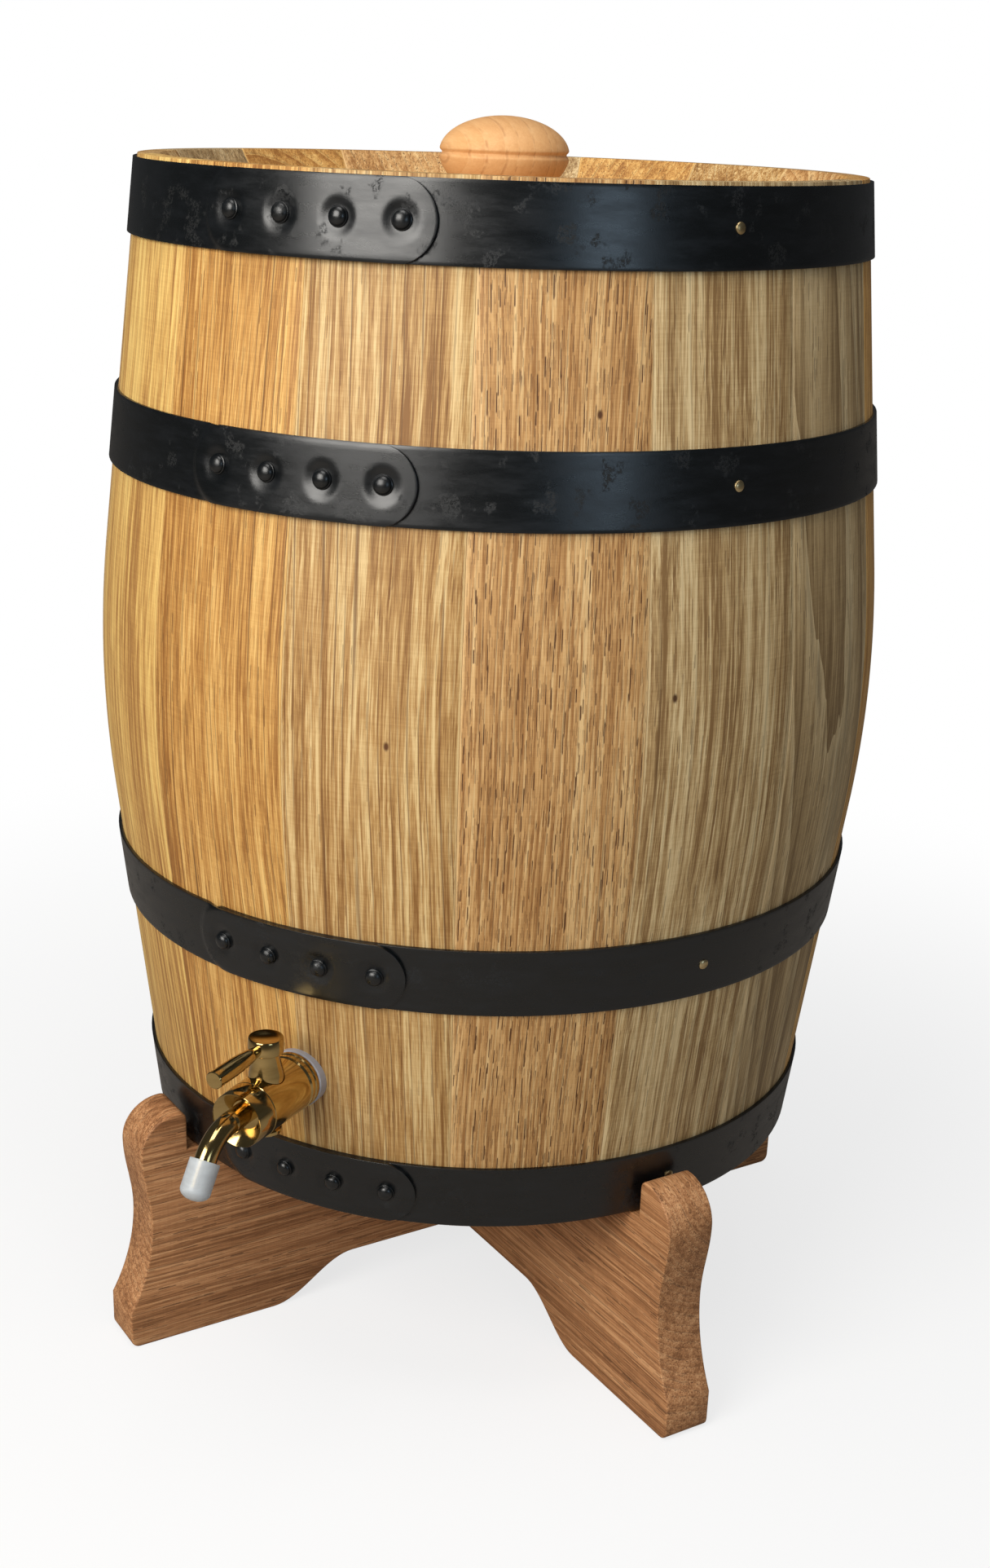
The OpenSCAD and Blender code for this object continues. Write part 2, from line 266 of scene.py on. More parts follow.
ON_TAP = Matrix.Translation((AXIS.x, AXIS.y, TAP_Z)) @ Matrix.Rotation(math.pi / 2, 4, "X")
ON_STEM = Matrix.Translation((AXIS.x, AXIS.y - STEM_REACH, TAP_Z))

# ---------------------------------------------------------------- shader building blocks


def feed(tree, made, inputs):
    """Gives a node its inputs, by socket: a plain value, or another node's output to link."""
    for socket, value in dict(inputs).items():
        if isinstance(value, bpy.types.NodeSocket):
            tree.links.new(value, made.inputs[socket])
        else:
            made.inputs[socket].default_value = value


def node(tree, kind, inputs=(), **settings):
    """A new shader node with its settings and its inputs."""
    made = tree.nodes.new("ShaderNode" + kind)
    for key, value in settings.items():
        setattr(made, key, value)
    feed(tree, made, inputs)
    return made


def calc(tree, operation, *values, clamp=False):
    """One step of arithmetic."""
    return node(tree, "Math", enumerate(values), operation=operation, use_clamp=clamp).outputs[0]


def vector(tree, operation, *values):
    """One step of vector arithmetic; a plain number is a scale."""
    sockets = {"Scale" if isinstance(value, (int, float)) else number: value
               for number, value in enumerate(values)}
    made = node(tree, "VectorMath", sockets, operation=operation)
    return made.outputs["Value" if operation == "LENGTH" else "Vector"]


def split(tree, value):
    """X, Y and Z of a vector."""
    return node(tree, "SeparateXYZ", {0: value}).outputs


def fade(tree, value, start, end, low=0.0, high=1.0):
    """Smooth step of value from start to end."""
    return node(tree, "MapRange", {"Value": value, "From Min": start, "From Max": end,
                                   "To Min": low, "To Max": high},
                interpolation_type="SMOOTHSTEP").outputs["Result"]


def blend(tree, share, first, second):
    """A share of the second colour over the first."""
    return node(tree, "Mix", {"Factor": share, 6: first, 7: second}, data_type="RGBA").outputs[2]


def noise(tree, where, detail=2.0, roughness=0.5):
    """Outputs of a noise of mean 0.5 at a scaled place."""
    return node(tree, "TexNoise", {"Vector": where, "Scale": 1.0, "Detail": detail,
                                   "Roughness": roughness}).outputs


def bumps(tree, height, strength, depth):
    """Normal of a surface with small bumps."""
    return node(tree, "Bump", {"Height": height, "Strength": strength, "Distance": depth}).outputs[0]


def new_group(name, inputs, outputs):
    """A node group, its given values and its output node. Inputs are (name, kind, start value)."""
    tree = bpy.data.node_groups.new(name, "ShaderNodeTree")
    for socket, kind, value in inputs:
        made = tree.interface.new_socket(socket, in_out="INPUT", socket_type="NodeSocket" + kind)
        if value is not None:
            made.default_value = value
    for socket, kind in outputs:
        tree.interface.new_socket(socket, in_out="OUTPUT", socket_type="NodeSocket" + kind)
    return tree, tree.nodes.new("NodeGroupInput").outputs, tree.nodes.new("NodeGroupOutput")


def new_material(name):
    """A material, its tree, its Principled shader and the object coordinates."""
    material = bpy.data.materials.new(name)
    material.use_nodes = True
    tree = material.node_tree
    tree.nodes.clear()
    shader = node(tree, "BsdfPrincipled")
    output = node(tree, "OutputMaterial", {"Surface": shader.outputs[0]})
    output.is_active_output = True
    return material, tree, shader, node(tree, "TexCoord").outputs["Object"]


def sRGB(red, green, blue):
    """Linear colour of an 8-bit display colour."""
    return tuple(((c / 255 + 0.055) / 1.055) ** 2.4 if c > 10 else c / 255 / 12.92
                 for c in (red, green, blue)) + (1.0,)


# ---------------------------------------------------------------- wood


def make_wood_group():
    """Solid wood. Vector is in the wood's own directions in metres: X and Y across, Z along the grain.

    The places of the pith and the knot and the ring width are in mm, and inside all is in mm.
    """
    numbers = {"Seed": 0.0, "Bow": 0.0, "Pith X": 0.0, "Pith Y": 80.0, "Run-out": 0.0,
               "Ring Width": 3.0, "Ring Contrast": 0.5, "Line Strength": 0.5, "Pore Strength": 0.8,
               "Pore Share": 0.5, "Fleck Strength": 0.2, "Streaks": 0.5, "Knot X": 900.0,
               "Knot Z": 0.0}
    colors = {"Light": (0.7, 0.5, 0.3, 1), "Middle": (0.5, 0.33, 0.17, 1),
              "Dark": (0.3, 0.17, 0.08, 1), "Pore Color": (0.1, 0.05, 0.02, 1)}
    tree, given, made = new_group(
        "solid_wood",
        [("Vector", "Vector", None)] + [(name, "Float", value) for name, value in numbers.items()]
        + [(name, "Color", value) for name, value in colors.items()],
        [("Color", "Color"), ("Roughness", "Float"), ("Height", "Float")])
    place_mm = vector(tree, "SCALE", given["Vector"], 1000.0)

    # short names for the arithmetic of this group
    def times(*values, clamp=False):
        result = values[0]
        for value in values[1:]:
            result = calc(tree, "MULTIPLY", result, value, clamp=clamp)
        return result

    def plus(first, second):
        return calc(tree, "ADD", first, second)

    def minus(first, second):
        return calc(tree, "SUBTRACT", first, second)

    def length(x, y):
        return calc(tree, "SQRT", plus(times(x, x), times(y, y)))

    seed = node(tree, "CombineXYZ", {"X": given["Seed"], "Y": times(given["Seed"], 1.7),
                                     "Z": times(given["Seed"], 2.3)}).outputs[0]

    def grain(where, across, along, detail=2, roughness=0.5):
        """Noise of so many waves a mm across and along the grain."""
        scaled = vector(tree, "MULTIPLY", where, (across, across, along))
        return noise(tree, vector(tree, "ADD", scaled, seed), detail, roughness)

    # bent wood carries its grain round the bend: straight ends, and a round belly between them
    roundness = 4.0
    raw = split(tree, place_mm)
    lean = times(raw[2], given["Bow"])
    sag = minus(calc(tree, "SQRT", plus(times(lean, lean), roundness ** 2)), roundness)
    flat = node(tree, "CombineXYZ", {"X": raw[0], "Y": minus(raw[1], sag), "Z": raw[2]}).outputs[0]

    # the grain wanders far and slowly, and a little and quickly: waves a mm, and reach in mm
    wanders = []
    for across, along, reach in ((0.012, 0.0028, 12), (0.11, 0.014, 1.5)):
        swing = vector(tree, "SUBTRACT", grain(flat, across, along)["Color"], (0.5, 0.5, 0.5))
        wanders.append(vector(tree, "MULTIPLY", swing, (reach, reach, 0)))
    wood = vector(tree, "ADD", flat, vector(tree, "ADD", *wanders))
    parts = split(tree, wood)

    # growth rings about the pith, wider in some years than in others
    aside = plus(minus(parts[0], given["Pith X"]), times(parts[2], given["Run-out"]))
    distance = length(aside, minus(parts[1], given["Pith Y"]))
    years = calc(tree, "DIVIDE", distance, given["Ring Width"])
    uneven = node(tree, "CombineXYZ", {"X": times(years, 0.45), "Y": given["Seed"]}).outputs[0]
    season = calc(tree, "FRACT", plus(years, times(noise(tree, uneven, 1)["Fac"], 2.2)))
    early = times(fade(tree, season, 0.0, 0.10), fade(tree, season, 0.30, 0.60, 1.0, 0.0))
    ring_edge = times(fade(tree, season, 0.0, 0.06), fade(tree, season, 0.10, 0.22, 1.0, 0.0))
    comes_and_goes = fade(tree, grain(wood, 0.30, 0.008)["Fac"], 0.38, 0.62)
    line = times(ring_edge, comes_and_goes, given["Line Strength"])

    def dashes(spacing, cell_l, half_w, half_l, shift, share):
        """Thin marks along the grain in a share of the cells."""
        cell = (spacing, spacing, cell_l)
        cells = vector(tree, "ADD", vector(tree, "MULTIPLY", wood, tuple(1 / side for side in cell)),
                       vector(tree, "ADD", seed, (shift, 0, shift)))
        marks = node(tree, "TexVoronoi", {"Vector": cells, "Scale": 1.0, "Randomness": 1.0},
                     voronoi_dimensions="3D", feature="F1").outputs
        off = vector(tree, "MULTIPLY", vector(tree, "SUBTRACT", cells, marks["Position"]), cell)
        off = split(tree, off)
        draws = node(tree, "SeparateColor", {0: marks["Color"]}).outputs
        reach = calc(tree, "MULTIPLY_ADD", draws[1], 0.6 * half_l, 0.4 * half_l)
        along = calc(tree, "DIVIDE", calc(tree, "ABSOLUTE", off[2]), reach)
        return times(calc(tree, "LESS_THAN", draws[0], share), fade(tree, along, 0.75, 1.0, 1.0, 0.0),
                     fade(tree, length(off[0], off[1]), 0.6 * half_w, 1.25 * half_w, 1.0, 0.0))

    # pores crowd in the early wood, with finer, fewer ones after it, and pale rays lie between them
    big = dashes(spacing=0.70, cell_l=15.0, half_w=0.25, half_l=6.5, shift=3.1,
                 share=given["Pore Share"])
    big = times(big, calc(tree, "MULTIPLY_ADD", early, 0.88, 0.12))
    small = dashes(spacing=0.55, cell_l=8.0, half_w=0.16, half_l=3.5, shift=11.7,
                   share=given["Pore Share"])
    small = times(small, 0.5)
    pore = times(calc(tree, "MAXIMUM", big, small), given["Pore Strength"])
    to_knot = length(minus(raw[0], given["Knot X"]), times(minus(raw[2], given["Knot Z"]), 0.6))
    pore = calc(tree, "MAXIMUM", pore, fade(tree, to_knot, 0.5, 1.5, 1.0, 0.0))
    pore = calc(tree, "MAXIMUM", pore, line, clamp=True)
    fleck = dashes(spacing=1.5, cell_l=34.0, half_w=0.17, half_l=15.0, shift=23.9, share=0.6)
    fleck = times(fleck, given["Fleck Strength"], clamp=True)

    # tone: rings, streaks from broad to fine, fibres and faint marks of sanding across the grain
    fibres = grain(wood, 3.4, 0.09, 2, 0.6)["Fac"]
    patterns = ((grain(wood, 0.10, 0.003)["Fac"], 1.6), (grain(wood, 0.42, 0.007, 3, 0.6)["Fac"], 2.3),
                (grain(wood, 1.3, 0.022, 3, 0.6)["Fac"], 2.5), (fibres, 1.2),
                (grain(flat, 0.045, 1.4, 3, 0.7)["Fac"], 0.4))
    tone = plus(0.5, times(minus(0.45, season), given["Ring Contrast"]))
    for pattern, gain in patterns:
        tone = plus(tone, times(minus(pattern, 0.5), gain, given["Streaks"]))
    low = blend(tree, times(tone, 2.0, clamp=True), given["Dark"], given["Middle"])
    color = blend(tree, calc(tree, "MULTIPLY_ADD", tone, 2.0, -1.0, clamp=True), low, given["Light"])
    color = blend(tree, fleck, color, given["Light"])
    feed(tree, made, {"Color": blend(tree, pore, color, given["Pore Color"]),
                      "Roughness": calc(tree, "MULTIPLY_ADD", fibres, 0.14, 0.48),
                      "Height": minus(times(fibres, 0.35), pore)})
    return tree


WOOD = make_wood_group()


def wood_material(name, origin, turn, values, tone):
    """Wood whose grain runs along Z of a frame at origin, turned by the angles turn."""
    material, tree, shader, spot = new_material(name)
    own = node(tree, "Mapping", {"Vector": spot, "Location": origin, "Rotation": turn},
               vector_type="TEXTURE")
    colors = zip(("Light", "Middle", "Dark", "Pore Color"), [sRGB(*color) for color in tone])
    wood = node(tree, "Group", {"Vector": own.outputs[0], **values, **dict(colors)},
                node_tree=WOOD).outputs
    feed(tree, shader, {"Base Color": wood["Color"], "Roughness": wood["Roughness"],
                        "Normal": bumps(tree, wood["Height"], 0.6, 0.12 * MM),
                        "Specular IOR Level": 0.35})
    return material


# ---------------------------------------------------------------- metal, paint and rubber


def make_wear_group():
    """Small chips, scuffs, smears and grain of handled paint or metal."""
    tree, given, made = new_group(
        "handling_wear", [("Vector", "Vector", None), ("Seed", "Float", 0.0)],
        [("Chips", "Float"), ("Scuffs", "Float"), ("Smears", "Float"), ("Grain", "Float")])
    seed = node(tree, "CombineXYZ", {"X": given["Seed"], "Y": given["Seed"]}).outputs[0]
    place_mm = vector(tree, "ADD", vector(tree, "SCALE", given["Vector"], 1000.0), seed)

    def spread(waves, detail=2.0, roughness=0.5):
        """Noise of so many waves a mm."""
        return noise(tree, vector(tree, "SCALE", place_mm, waves), detail, roughness)["Fac"]

    limit = calc(tree, "SUBTRACT", 0.80, calc(tree, "MULTIPLY", spread(0.05), 0.14))
    patches = fade(tree, spread(0.085, 3, 0.6), 0.56, 0.64)
    crumbs = fade(tree, spread(0.9, 4, 0.8), 0.46, 0.56)
    bands = noise(tree, vector(tree, "MULTIPLY", place_mm, (0.05, 0.05, 0.22)), 4, 0.65)["Fac"]
    feed(tree, made, {"Chips": calc(tree, "GREATER_THAN", spread(1.1, 5, 0.75), limit),
                      "Scuffs": calc(tree, "MULTIPLY", patches, crumbs),
                      "Smears": fade(tree, bands, 0.35, 0.75),
                      "Grain": spread(2.4, 3)})
    return tree


WEAR = make_wear_group()
WASHER_GREY = (188, 188, 196)


def worn(tree, spot, seed):
    """Outputs of the wear at a place."""
    return node(tree, "Group", {"Vector": spot, "Seed": seed}, node_tree=WEAR).outputs


def black_paint(name, seed):
    """Satin black over steel: smeared, scuffed dull in patches and chipped here and there."""
    material, tree, shader, spot = new_material(name)
    wear = worn(tree, spot, seed)
    paint = blend(tree, wear["Smears"], sRGB(4, 7, 9), sRGB(10, 14, 18))
    bare = calc(tree, "MULTIPLY", wear["Chips"], 0.3)
    rough = calc(tree, "MULTIPLY_ADD", wear["Smears"], 0.10, 0.27)
    relief = calc(tree, "MULTIPLY_ADD", wear["Scuffs"], -0.8, wear["Grain"])
    feed(tree, shader, {"Base Color": blend(tree, bare, paint, sRGB(120, 118, 112)),
                        "Roughness": calc(tree, "MULTIPLY_ADD", wear["Scuffs"], 0.35, rough),
                        "Normal": bumps(tree, relief, 0.3, 0.06 * MM),
                        "Specular IOR Level": 0.7})
    return material


def smeared(name, seed, colors, rough, relief, more):
    """A smooth material with faint smears: its plain and smeared colour, its roughness and what the
    smears add to it, the strength and depth of its relief, and more inputs of its shader."""
    material, tree, shader, spot = new_material(name)
    wear = worn(tree, spot, seed)
    added = calc(tree, "MULTIPLY", wear["Smears"], rough[1])
    feed(tree, shader, {"Base Color": blend(tree, wear["Smears"], *[sRGB(*color) for color in colors]),
                        "Roughness": calc(tree, "ADD", rough[0], added),
                        "Normal": bumps(tree, wear["Grain"], *relief), **more})
    return material


def polished_metal(name, color, dull, roughness, seed):
    """Turned and polished metal."""
    return smeared(name, seed, (color, dull), (roughness, 0.10), (0.08, 0.02 * MM), {"Metallic": 1.0})


def silicone(name, color, clear, seed):
    """Soft rubber that lets some light through; clear is its share of clear transmission."""
    shade = tuple(c * 0.9 for c in color)
    return smeared(name, seed, (color, shade), (0.32, 0.12), (0.1, 0.03 * MM),
                   {"Transmission Weight": clear, "IOR": 1.41})


def black_rubber(name, seed):
    """Rubber of a sealing ring, a little dusty."""
    material, tree, shader, spot = new_material(name)
    wear = worn(tree, spot, seed)
    rough = calc(tree, "ADD", 0.5, calc(tree, "MULTIPLY", wear["Grain"], 0.2))
    feed(tree, shader, {"Base Color": blend(tree, wear["Smears"], sRGB(18, 18, 18), sRGB(40, 40, 40)),
                        "Roughness": rough})
    return material


# ---------------------------------------------------------------- staves

# Tones of oak: light, middle, dark and pore colours
OCHRE = ((240, 204, 124), (212, 166, 94), (164, 116, 62), (120, 78, 40))
GOLDEN = ((236, 192, 118), (205, 152, 82), (158, 106, 50), (100, 62, 28))
PALE = ((231, 200, 143), (192, 149, 91), (143, 99, 51), (100, 61, 30))
ORANGE = ((234, 196, 138), (206, 158, 100), (160, 112, 62), (92, 56, 28))
OLIVE = ((228, 202, 153), (190, 157, 107), (140, 106, 64), (86, 58, 32))
GREYED = ((218, 192, 146), (184, 154, 108), (134, 106, 68), (78, 56, 34))

# How each stave was cut: tone, place of the pith across and behind its face in mm, run-out, ring width,
# ring contrast, line strength, pore strength, share of cells with a pore, flecks, streaks
STAVE_CUTS = (
    (PALE, 95, 60, 0.02, 3.4, 0.20, 0.75, 0.45, 0.35, 0.15, 0.85),
    (ORANGE, -90, 34, -0.03, 2.5, 0.50, 0.60, 1.00, 0.95, 0.45, 0.75),
    (OLIVE, 85, 45, 0.02, 4.4, 0.35, 0.35, 0.55, 0.35, 0.75, 0.95),
    (GREYED, 4, 52, 0.10, 4.2, 0.75, 0.45, 0.60, 0.45, 0.20, 0.55),
    (GOLDEN, -90, 70, 0.03, 3.2, 0.35, 0.60, 0.70, 0.50, 0.20, 0.70),
    (ORANGE, 10, 60, -0.08, 4.2, 0.65, 0.50, 0.70, 0.55, 0.20, 0.60),
    (PALE, 95, 80, 0.02, 3.0, 0.30, 0.65, 0.55, 0.45, 0.20, 0.80),
    (GOLDEN, -60, 58, 0.05, 4.0, 0.50, 0.50, 0.70, 0.50, 0.20, 0.65),
    (OLIVE, -90, 70, -0.03, 3.0, 0.35, 0.45, 0.60, 0.45, 0.60, 0.80),
    (ORANGE, 85, 60, 0.04, 3.4, 0.40, 0.50, 0.85, 0.65, 0.25, 0.65),
    (GOLDEN, 0, 56, -0.09, 4.4, 0.70, 0.45, 0.60, 0.50, 0.20, 0.60),
    (GREYED, -90, 70, 0.03, 3.2, 0.40, 0.50, 0.70, 0.50, 0.30, 0.70),
    (PALE, 70, 60, 0.04, 3.6, 0.40, 0.60, 0.55, 0.45, 0.20, 0.75),
    (OCHRE, -90, 60, -0.02, 4.6, 0.30, 0.35, 0.30, 0.30, 0.30, 0.85),
    (GOLDEN, -95, 50, 0.02, 3.0, 0.30, 0.80, 0.65, 0.50, 0.20, 0.85),
)
CUT_VALUES = ("Pith X", "Pith Y", "Run-out", "Ring Width", "Ring Contrast", "Line Strength",
              "Pore Strength", "Pore Share", "Fleck Strength", "Streaks")
# Pin knots: stave, place across it and above its middle in mm
PIN_KNOTS = {2: (13, 130), 1: (8, 7), 3: (-24, 26)}
# How far the grain leans at the ends, and how pale the sanded edges are
BOW = 0.116
EDGE_PALENESS = 0.7


def stave_outline(step_out):
    """Long section of a stave as (distance from the axis, height above its foot)."""
    chime_w, bevel_h, groove_deep, groove_w = 9 * MM, 12 * MM, 4 * MM, 5 * MM
    groove_z = 26 * MM

    def inner_r(height):
        return outer_r(height) - STAVE_T

    foot = [(RIM_R - chime_w, 0), (inner_r(bevel_h), bevel_h)]
    for deep, side in ((0, -1), (groove_deep, -1), (groove_deep, 1), (0, 1)):
        z = groove_z + side * groove_w / 2
        foot.append((inner_r(z) + deep, z))
    head = [(r, BARREL_H - z) for r, z in foot]
    taper_deg = math.degrees(TAPER)
    outside = arc(BELLY_R - BELLY_ARC_R, HALF_H, BELLY_ARC_R, -taper_deg, taper_deg, 20)
    inside = arc(BELLY_R - STAVE_T - BELLY_ARC_R, HALF_H, BELLY_ARC_R, taper_deg, -taper_deg, 8)
    outside = [(RIM_R, 0)] + outside + [(RIM_R, BARREL_H)]
    return [(r + step_out, z) for r, z in outside] + head + inside + foot[::-1]


def stave_material(number):
    """Oak that follows the stave's bend, with its two long edges sanded pale."""
    tone, *cut = STAVE_CUTS[number - 1]
    values = dict(zip(CUT_VALUES, cut), Seed=7.3 * number, Bow=BOW)
    if number in PIN_KNOTS:
        values["Knot X"], values["Knot Z"] = PIN_KNOTS[number]
    azimuth = (number - 0.5) * STAVE_DEG
    origin = tuple(radial(azimuth, BELLY_R, FOOT_Z + HALF_H))
    turn = (0, 0, math.radians(azimuth))
    material = wood_material(f"oak_stave_{number:02d}", origin, turn, values, tone)
    tree = material.node_tree
    shader = tree.nodes["Principled BSDF"]
    own = tree.nodes["Mapping"].outputs[0]
    parts = split(tree, own)
    to_axis = calc(tree, "SUBTRACT", BELLY_R, parts[1])
    swing = calc(tree, "ABSOLUTE", calc(tree, "ARCTAN2", parts[0], to_axis))
    to_edge = calc(tree, "SUBTRACT", math.radians(STAVE_DEG / 2), swing)
    to_edge = calc(tree, "MULTIPLY", to_edge, to_axis)
    frayed = noise(tree, vector(tree, "MULTIPLY", own, (900, 900, 130)), 3, 0.65)["Fac"]
    near = fade(tree, calc(tree, "ADD", to_edge, calc(tree, "MULTIPLY", frayed, -1.6 * MM)),
                -0.5 * MM, 0.3 * MM, EDGE_PALENESS, 0.0)
    sanded = blend(tree, near, shader.inputs["Base Color"].links[0].from_socket, sRGB(*tone[0]))
    tree.links.new(sanded, shader.inputs["Base Color"])
    return material


def make_stave(number):
    """A bent stave, up to a quarter of a millimetre further in than its neighbours."""
    start = (number - 1) * STAVE_DEG + STAVE_GAP_DEG / 2
    step_out = -0.25 * MM * random.random()
    name = f"stave_{number:02d}"
    piece = spun(laid_outline("oak_" + name, stave_outline(step_out)), STAVE_DEG - STAVE_GAP_DEG, 12)
    place(piece, Matrix.Translation(AXIS + Vector((0, 0, FOOT_Z)))
          @ Matrix.Rotation(math.radians(start - 90), 4, "Z"))
    soften(piece, 0.2 * MM)
    finish_piece(piece, name, stave_material(number))


# ---------------------------------------------------------------- hoops, rivets and nails


def smooth_step(value):
    """0 up to 0, 1 from 1, and a smooth rise between."""
    value = min(max(value, 0.0), 1.0)
    return value * value * (3 - 2 * value)


def hoop_height(name):
    """Height of a hoop's middle above the feet of the staves."""
    return middle(name + "_hoop").z - FOOT_Z


def make_hoop(name, paint):
    """A strip bent round the barrel and lapped over its own buried end, with a dimple at each rivet."""
    height = hoop_height(name)
    round_len = 2 * math.pi * outer_r(height)
    strip_from, strip_to = -LAP_LEN / 2, round_len + LAP_LEN / 2
    # cells along the strip: coarse ones round the barrel, and fine ones from just before the lap
    coarse, fine, rows = 150, 110, 20
    fine_from = strip_to - LAP_LEN - 8 * MM
    share = coarse / (coarse + fine)
    # the strip climbs onto its own end, and each dimple has a flat floor and a slope round it
    climb_before, climb_len = 2.2 * MM, 3.4 * MM
    floor_r, slope_len = 3.2 * MM, 4.6 * MM
    deselect()
    bpy.ops.mesh.primitive_grid_add(x_subdivisions=coarse + fine, y_subdivisions=rows, size=2)
    piece = bpy.context.active_object
    piece.name = piece.data.name = "black_" + name + "_hoop"
    for vertex in piece.data.vertices:
        along = (vertex.co.x + 1) / 2
        v = vertex.co.y * HOOP_W / 2
        if along < share:
            u = strip_from + (fine_from - strip_from) * along / share
        else:
            u = fine_from + (strip_to - fine_from) * (along - share) / (1 - share)
        # both ends are rounded: their last stretch is pulled back to an arc
        for end, way in ((strip_from, 1), (strip_to, -1)):
            inside = (u - end) * way
            if inside < LAP_END_R:
                reach = math.sqrt(LAP_END_R ** 2 - v ** 2)
                u = end + way * (LAP_END_R - (LAP_END_R - inside) * reach / LAP_END_R)
        lift = 0.0
        if u > round_len / 2:
            w = u - round_len
            edge = LAP_END_R - math.hypot(min(w - strip_from - LAP_END_R, 0), v)
            lift = STRIP_T * smooth_step((edge + climb_before) / climb_len)
            for offset in RIVET_OFFSETS:
                away = math.hypot(w - offset, v)
                lift -= DIMPLE_DEEP * (1 - smooth_step((away - floor_r) / slope_len))
        z = height + v * math.cos(TAPER)
        r = outer_r(z) + STRIP_T + STRIP_GAP + lift
        vertex.co = radial(LAP_AZ + math.degrees(u / outer_r(height)), r, FOOT_Z + z)
    close_up(piece)
    apply_modifier(piece, "SOLIDIFY", thickness=STRIP_T, offset=-1)
    soften(piece, 0.4 * MM, 2, 50)
    finish_piece(piece, name + "_hoop", paint)


# Profiles of the heads in mm
RIVET_HEAD = ([(0, -1.2), (3.9, -1.2), (3.9, 0.25), (3.75, 0.6), (3.5, 0.75)]
              + [(3.45 * math.cos(math.radians(a)), 0.8 + 2.15 * math.sin(math.radians(a)))
                 for a in range(8, 82, 12)]
              + [(0, 2.95)])
NAIL_HEAD = [(0, -2.0), (0.9, -2.0), (0.9, -0.1), (2.15, -0.1), (2.2, 0.25), (1.9, 0.6), (1.2, 0.85),
             (0, 0.95)]


def heads_on_hoop(model, azimuths, height, out):
    """Copies of one turned head, set on the staves at azimuths and so far out from them."""
    soften(model, 0)
    heads = [place(copy_of(model, "head"), on_stave(azimuth, height) @ Matrix.Translation((0, 0, out)))
             for azimuth in azimuths]
    bpy.data.objects.remove(model)
    return heads


def make_rivets(name, paint):
    """Four round heads in the dimples of the lap."""
    height = hoop_height(name)
    azimuths = [LAP_AZ + math.degrees(offset / outer_r(height)) for offset in RIVET_OFFSETS]
    sunk = STRIP_GAP + 2 * STRIP_T - DIMPLE_DEEP
    heads = heads_on_hoop(turned("rivet_" + name, in_mm(RIVET_HEAD), 32), azimuths, height, sunk)
    finish_piece(joined(heads, "black_" + name + "_rivets"), name + "_rivets", paint)


def make_nails(name, metal):
    """Two small nails through the hoop into the staves."""
    heads = heads_on_hoop(turned("nail_" + name, in_mm(NAIL_HEAD), 24), NAIL_AZIMUTHS,
                          hoop_height(name), STRIP_T + STRIP_GAP)
    finish_piece(joined(heads, "brass_" + name + "_nails"), name + "_nails", metal)


# ---------------------------------------------------------------- stand


def plank_outline(notch_from, notch_to):
    """Outline of a stand board as (distance from the barrel's axis, height), with its notch."""
    arch_end, foot_in, foot_out, corner = 72 * MM, 114 * MM, 186 * MM, 4 * MM
    waist_r, waist_in, waist_z = 88 * MM, 174.5 * MM, FOOT_Z - 34 * MM
    lug_out, lug_in, lug_z = 178.5 * MM, 156.5 * MM, FOOT_Z + 1 * MM
    lug_r, lug_corner = 18 * MM, 3.5 * MM
    half_t = 11.55 * MM
    ease = [(1 - math.cos(math.pi * i / 16)) / 2 for i in range(17)]
    waist_from = math.degrees(math.acos((waist_in + waist_r - foot_out) / waist_r))
    half = [(arch_end + (foot_in - arch_end) * i / 16, ARCH_H * (1 - up)) for i, up in enumerate(ease)]
    half += arc(foot_out - corner, corner, corner, -90, 0, 6)
    half += arc(waist_in + waist_r, waist_z, waist_r, 180 + waist_from, 180, 16)
    half += [(waist_in + (lug_out - waist_in) * up, waist_z + (lug_z - waist_z) * i / 16)
             for i, up in enumerate(ease)][1:-1]
    half += arc(lug_out - lug_r, lug_z, lug_r, 0, 90, 16)
    half += arc(lug_in + lug_corner, lug_z + lug_r - lug_corner, lug_corner, 90, 180, 6)
    half += [(lug_in, FOOT_Z)]
    if notch_from > ARCH_H:
        half += [(half_t, FOOT_Z), (half_t, notch_from)]
    else:
        half = [(half_t, notch_to), (half_t, ARCH_H)] + half
    return half + [(-x, z) for x, z in half[::-1]]


def make_plank(node_name, azimuth, notch_from, notch_to, seed):
    """A stand board on edge, with the halving joint's notch between two heights."""
    thickness = 23 * MM
    piece = laid_outline("oak_" + node_name, plank_outline(notch_from, notch_to))
    edit_all(piece)
    bpy.ops.mesh.extrude_region_move(TRANSFORM_OT_translate={"value": (0, thickness, 0)})
    bpy.ops.object.mode_set(mode="OBJECT")
    close_up(piece)
    turn = math.radians(azimuth - 90)
    place(piece, Matrix.Translation(AXIS) @ Matrix.Rotation(turn, 4, "Z")
          @ Matrix.Translation((0, -thickness / 2, 0)))
    soften(piece, 0.8 * MM, 3)
    tone = ((214, 162, 114), (182, 128, 84), (138, 92, 56), (76, 46, 26))
    values = {"Seed": seed, "Pith X": 40.0, "Pith Y": 120.0, "Run-out": 0.02, "Ring Width": 3.4,
              "Ring Contrast": 0.45, "Line Strength": 0.6, "Pore Strength": 0.75, "Pore Share": 0.6,
              "Streaks": 0.7}
    quarter = math.pi / 2
    oak = wood_material("oak_" + node_name, tuple(AXIS), (quarter, 0, turn + quarter), values, tone)
    finish_piece(piece, node_name, oak, "stand")


# ---------------------------------------------------------------- bung


